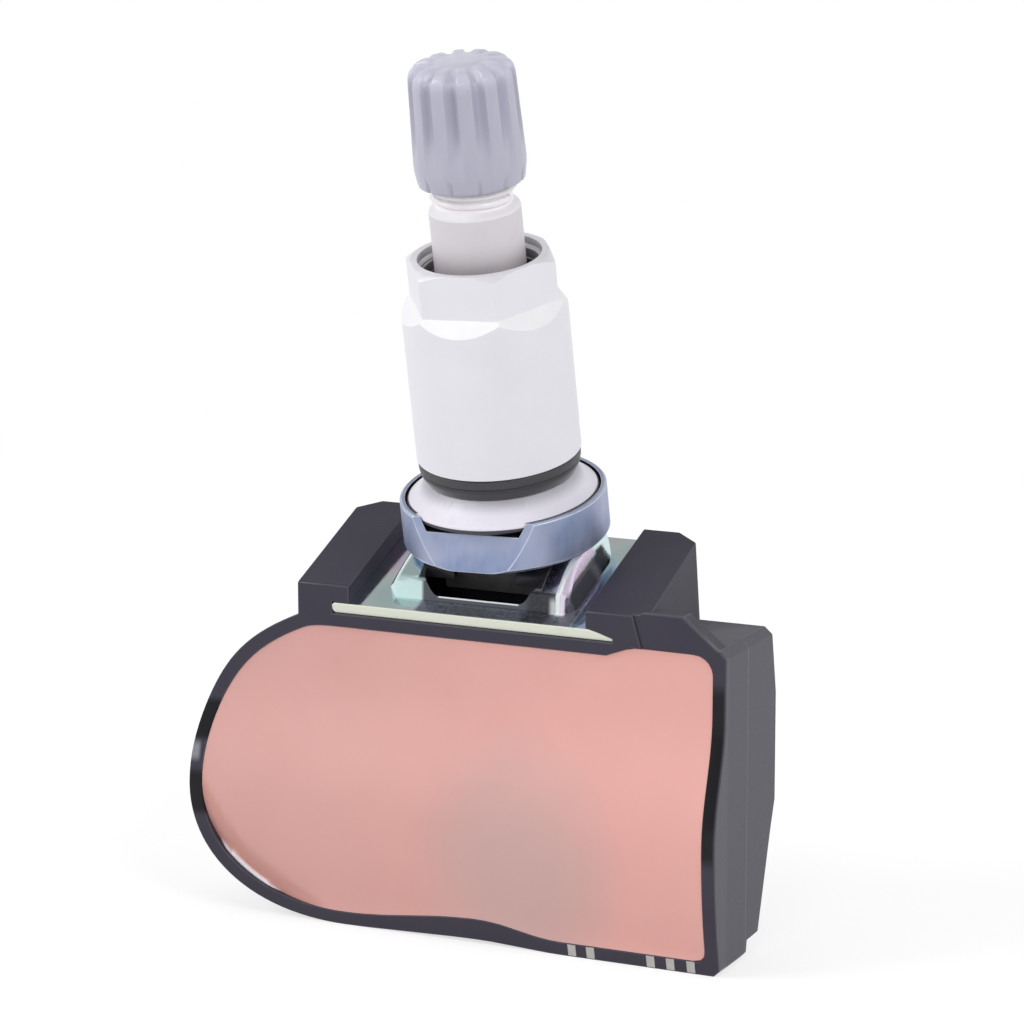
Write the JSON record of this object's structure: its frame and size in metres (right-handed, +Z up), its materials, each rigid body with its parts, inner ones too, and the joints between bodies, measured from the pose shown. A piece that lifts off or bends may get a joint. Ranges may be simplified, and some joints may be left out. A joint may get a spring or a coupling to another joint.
{
  "type": "tyre pressure sensor",
  "caption": "Clamp-in tyre pressure sensor: potted transmitter housing on a swivelling saddle under a metal valve with sleeve nut, seal, sprung core and fluted dust cap.",
  "frame": {"origin": "centre of the rim seat, on the valve axis at the nut's lower face", "axes": "+X along the housing, +Y to its back (the potting faces -Y), +Z up; the valve leans 12.5 degrees from +Z to the front"},
  "size_m": [0.0522, 0.023, 0.0801],
  "materials": {
    "cap_plastic": "fine moulded, lavender grey",
    "aluminium": "satin clear-anodised",
    "black_rubber": "matt black",
    "washer_plastic": "dark grey",
    "blue_zinc": "blue passivated zinc on turned steel",
    "bright_zinc": "bright zinc on pressed sheet steel, faint rainbow tint",
    "housing_plastic": "charcoal moulded, fine grain",
    "potting_resin": "salmon pink cast resin, soft gloss",
    "board_laminate": "green solder mask",
    "cell_steel": "nickel plated",
    "black_epoxy": "moulded package",
    "copper": "enamelled wire",
    "brass": "turned",
    "ceramic": "fired chip body"
  },
  "bodies": {
    "valve": {"valve_stem": "aluminium", "core_barrel": "brass", "core_ring": "black_rubber", "core_spring": "cell_steel", "saddle_ring": "blue_zinc", "rocker_shoe": "blue_zinc", "rubber_seal": "black_rubber"},
    "sensor": {"housing": "housing_plastic", "bracket": "bright_zinc", "potting": "potting_resin", "circuit_board": "board_laminate", "cell_can": "cell_steel", "cell_gasket": "black_rubber", "cell_lid": "cell_steel", "plus_tab": "cell_steel", "minus_tab": "cell_steel", "sensor_chip": "black_epoxy", "port_seal": "black_rubber", "coil_core": "black_epoxy", "coil_winding": "copper", "crystal": "cell_steel", "antenna": "cell_steel", "capacitor_1": "ceramic", "capacitor_2": "ceramic", "capacitor_3": "ceramic"},
    "washer": {"nut_washer": "washer_plastic"},
    "nut": {"sleeve_nut": "aluminium"},
    "gasket": {"cap_gasket": "black_rubber"},
    "cap": {"dust_cap": "cap_plastic"},
    "core": {"core_pin": "brass", "poppet_seal": "black_rubber"}
  },
  "joints": [
    {"name": "sensor_swivel", "type": "hinge", "parent": "valve", "child": "sensor", "pos_m": [0, 0.00417, -0.01879], "axis": [1, 0, 0], "range_deg": [-16, 0]},
    {"name": "washer_slide", "type": "slide", "parent": "valve", "child": "washer", "axis": [0, -0.2164, 0.9763], "range_m": [0, 0.008]},
    {"name": "nut_turn", "type": "hinge", "parent": "washer", "child": "nut", "pos_m": [0, 0, 0], "axis": [0, -0.2164, 0.9763], "range_deg": [0, 2882]},
    {"name": "gasket_slide", "type": "slide", "parent": "valve", "child": "gasket", "axis": [0, -0.2164, 0.9763], "range_m": [0, 0.0064]},
    {"name": "cap_turn", "type": "hinge", "parent": "gasket", "child": "cap", "pos_m": [0, -0.00649, 0.02929], "axis": [0, -0.2164, 0.9763], "range_deg": [0, 2904]},
    {"name": "core_press", "type": "slide", "parent": "valve", "child": "core", "axis": [0, 0.2164, -0.9763], "range_m": [0, 0.0012], "stiffness_N_per_m": 150, "springref_m": -0.004, "deforming": ["core_spring"]}
  ],
  "couplings": [
    {"joint": "nut_turn", "follows": "washer_slide", "rad_per_m": 6283.2},
    {"joint": "cap_turn", "follows": "gasket_slide", "rad_per_m": 7913.3}
  ]
}
